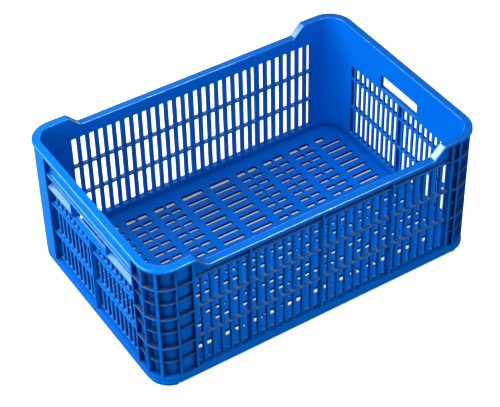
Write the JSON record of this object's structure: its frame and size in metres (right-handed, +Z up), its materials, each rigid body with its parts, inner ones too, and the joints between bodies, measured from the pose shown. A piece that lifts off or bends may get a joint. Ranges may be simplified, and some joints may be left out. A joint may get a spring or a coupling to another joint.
{
  "type": "vented stacking transport crate",
  "caption": "Open-top rectangular stacking crate with slotted walls and floor, ribbed corner posts, a hand-hold at each end and a rim that steps down along the long sides.",
  "frame": {"origin": "centre of the bottom of the crate, in the plane its corner pads stand on", "axes": "+X along the length, +Y along the width, +Z up; front is -Y, left is -X"},
  "size_m": [0.6, 0.4, 0.246],
  "materials": {
    "crate_plastic": "satin"
  },
  "bodies": {
    "root": {"base_flange": "crate_plastic", "base_lip": "crate_plastic", "corner_post_left_back": "crate_plastic", "corner_post_left_front": "crate_plastic", "corner_post_right_back": "crate_plastic", "corner_post_right_front": "crate_plastic", "corner_ribs_left_back": "crate_plastic", "corner_ribs_left_front": "crate_plastic", "corner_ribs_right_back": "crate_plastic", "corner_ribs_right_front": "crate_plastic", "deep_rib_back_centre": "crate_plastic", "deep_rib_back_left": "crate_plastic", "deep_rib_back_right": "crate_plastic", "deep_rib_front_centre": "crate_plastic", "deep_rib_front_left": "crate_plastic", "deep_rib_front_right": "crate_plastic", "end_rail_left_lower": "crate_plastic", "end_rail_left_upper": "crate_plastic", "end_rail_right_lower": "crate_plastic", "end_rail_right_upper": "crate_plastic", "end_rib_left": "crate_plastic", "end_rib_right": "crate_plastic", "floor_grid": "crate_plastic", "floor_panel": "crate_plastic", "foot_pad_left_back": "crate_plastic", "foot_pad_left_front": "crate_plastic", "foot_pad_right_back": "crate_plastic", "foot_pad_right_front": "crate_plastic", "foot_ring": "crate_plastic", "grip_band_left": "crate_plastic", "grip_band_right": "crate_plastic", "grip_ledge_left_back": "crate_plastic", "grip_ledge_left_front": "crate_plastic", "grip_ledge_right_back": "crate_plastic", "grip_ledge_right_front": "crate_plastic", "grip_rib_left_back": "crate_plastic", "grip_rib_left_front": "crate_plastic", "grip_rib_right_back": "crate_plastic", "grip_rib_right_front": "crate_plastic", "grip_shelf_left": "crate_plastic", "grip_shelf_right": "crate_plastic", "post_panel_left_back": "crate_plastic", "rail_back_low": "crate_plastic", "rail_back_mid": "crate_plastic", "rail_back_top": "crate_plastic", "rail_front_low": "crate_plastic", "rail_front_mid": "crate_plastic", "rail_front_top": "crate_plastic", "rim_end_left": "crate_plastic", "rim_end_right": "crate_plastic", "rim_low_back": "crate_plastic", "rim_low_front": "crate_plastic", "rim_step_left_back": "crate_plastic", "rim_step_left_front": "crate_plastic", "rim_step_right_back": "crate_plastic", "rim_step_right_front": "crate_plastic", "wall_back": "crate_plastic", "wall_front": "crate_plastic", "wall_left": "crate_plastic", "wall_right": "crate_plastic"}
  },
  "joints": []
}
